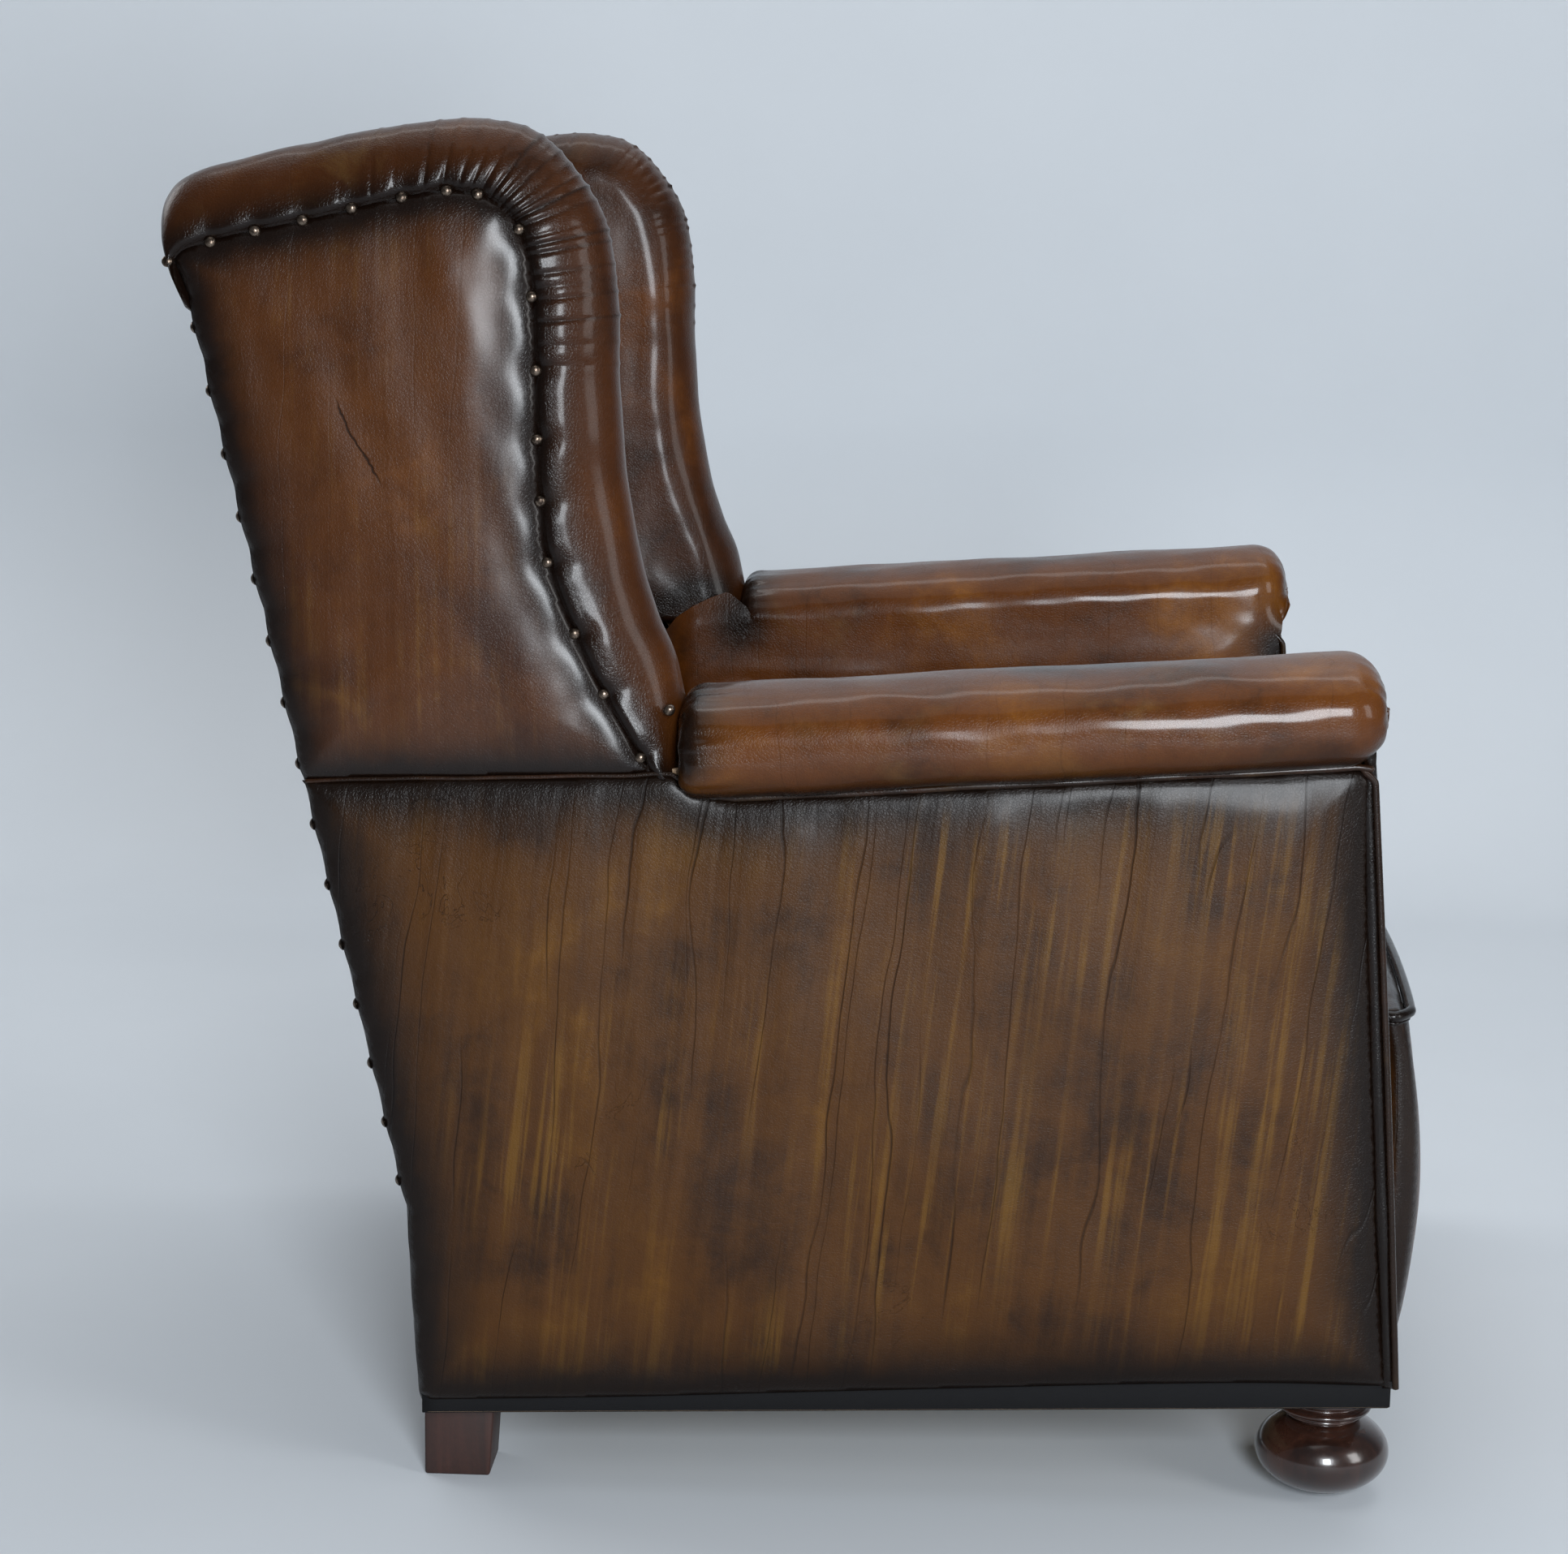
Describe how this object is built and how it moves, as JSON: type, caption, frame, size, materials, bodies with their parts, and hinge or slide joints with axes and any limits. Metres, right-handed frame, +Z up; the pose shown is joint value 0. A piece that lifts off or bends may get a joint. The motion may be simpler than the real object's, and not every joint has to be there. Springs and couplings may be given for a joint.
{
  "type": "wing-back library armchair",
  "caption": "High-backed winged reading chair in antique brown leather, with rolled arms, a sprung seat, turned front feet and square block rear feet.",
  "frame": {"origin": "on the floor, under the middle of the chair's overall width and depth", "axes": "+X towards the sitter's left, the chair faces -Y, +Z up"},
  "size_m": [0.83, 0.956, 1.02],
  "materials": {
    "brown_leather": "antique hand-dyed hide, glossy, burnished nearly black towards the seams",
    "turned_foot_wood": "turned beech, stained very dark and polished",
    "block_foot_wood": "square block, stained reddish brown, satin",
    "dark_brass": "antiqued dark, domed heads with a worn shine",
    "steel": "plain drawn wire and pressed discs",
    "jute": "plain woven jute webbing and hessian",
    "black_lining": "thin black woven lining, matte",
    "hair_stuffing": "teased hair under cotton wadding, matte",
    "beech": "plain sawn beech, unfinished inside the covers"
  },
  "bodies": {
    "root": {"arm_board_left": "beech", "arm_board_right": "beech", "arm_facing_left": "brown_leather", "arm_facing_right": "brown_leather", "arm_leather_left": "brown_leather", "arm_leather_right": "brown_leather", "arm_roll_stuffing_left": "hair_stuffing", "arm_roll_stuffing_right": "hair_stuffing", "arm_tacking_rails": "beech", "arm_welts": "brown_leather", "back_hessian": "jute", "back_nails": "dark_brass", "back_post_left": "beech", "back_post_right": "beech", "back_seat_rail": "beech", "back_springs": "steel", "back_stuffing": "hair_stuffing", "back_webbing": "jute", "bun_foot_left": "turned_foot_wood", "bun_foot_right": "turned_foot_wood", "corner_blocks": "beech", "crest_rail": "beech", "dowels": "beech", "dust_lining": "black_lining", "facing_piping": "brown_leather", "foot_glides": "steel", "foot_screws": "steel", "front_border_stuffing": "hair_stuffing", "front_post_left": "beech", "front_post_right": "beech", "front_seat_rail": "beech", "inside_arm_stuffing_left": "hair_stuffing", "inside_arm_stuffing_right": "hair_stuffing", "inside_back_leather": "brown_leather", "lower_back_rail": "beech", "outside_arm_left": "brown_leather", "outside_arm_right": "brown_leather", "outside_back": "brown_leather", "outside_wing_left": "brown_leather", "outside_wing_right": "brown_leather", "rear_foot_left": "block_foot_wood", "rear_foot_right": "block_foot_wood", "seat_front_border": "brown_leather", "seat_hessian": "jute", "seat_piping": "brown_leather", "seat_springs": "steel", "seat_stuffing": "hair_stuffing", "seat_top_leather": "brown_leather", "seat_webbing": "jute", "side_seat_rail_left": "beech", "side_seat_rail_right": "beech", "wing_leather_left": "brown_leather", "wing_leather_right": "brown_leather", "wing_nails": "dark_brass", "wing_post_left": "beech", "wing_post_right": "beech", "wing_rail_left": "beech", "wing_rail_right": "beech", "wing_stuffing_left": "hair_stuffing", "wing_stuffing_right": "hair_stuffing"}
  },
  "joints": []
}
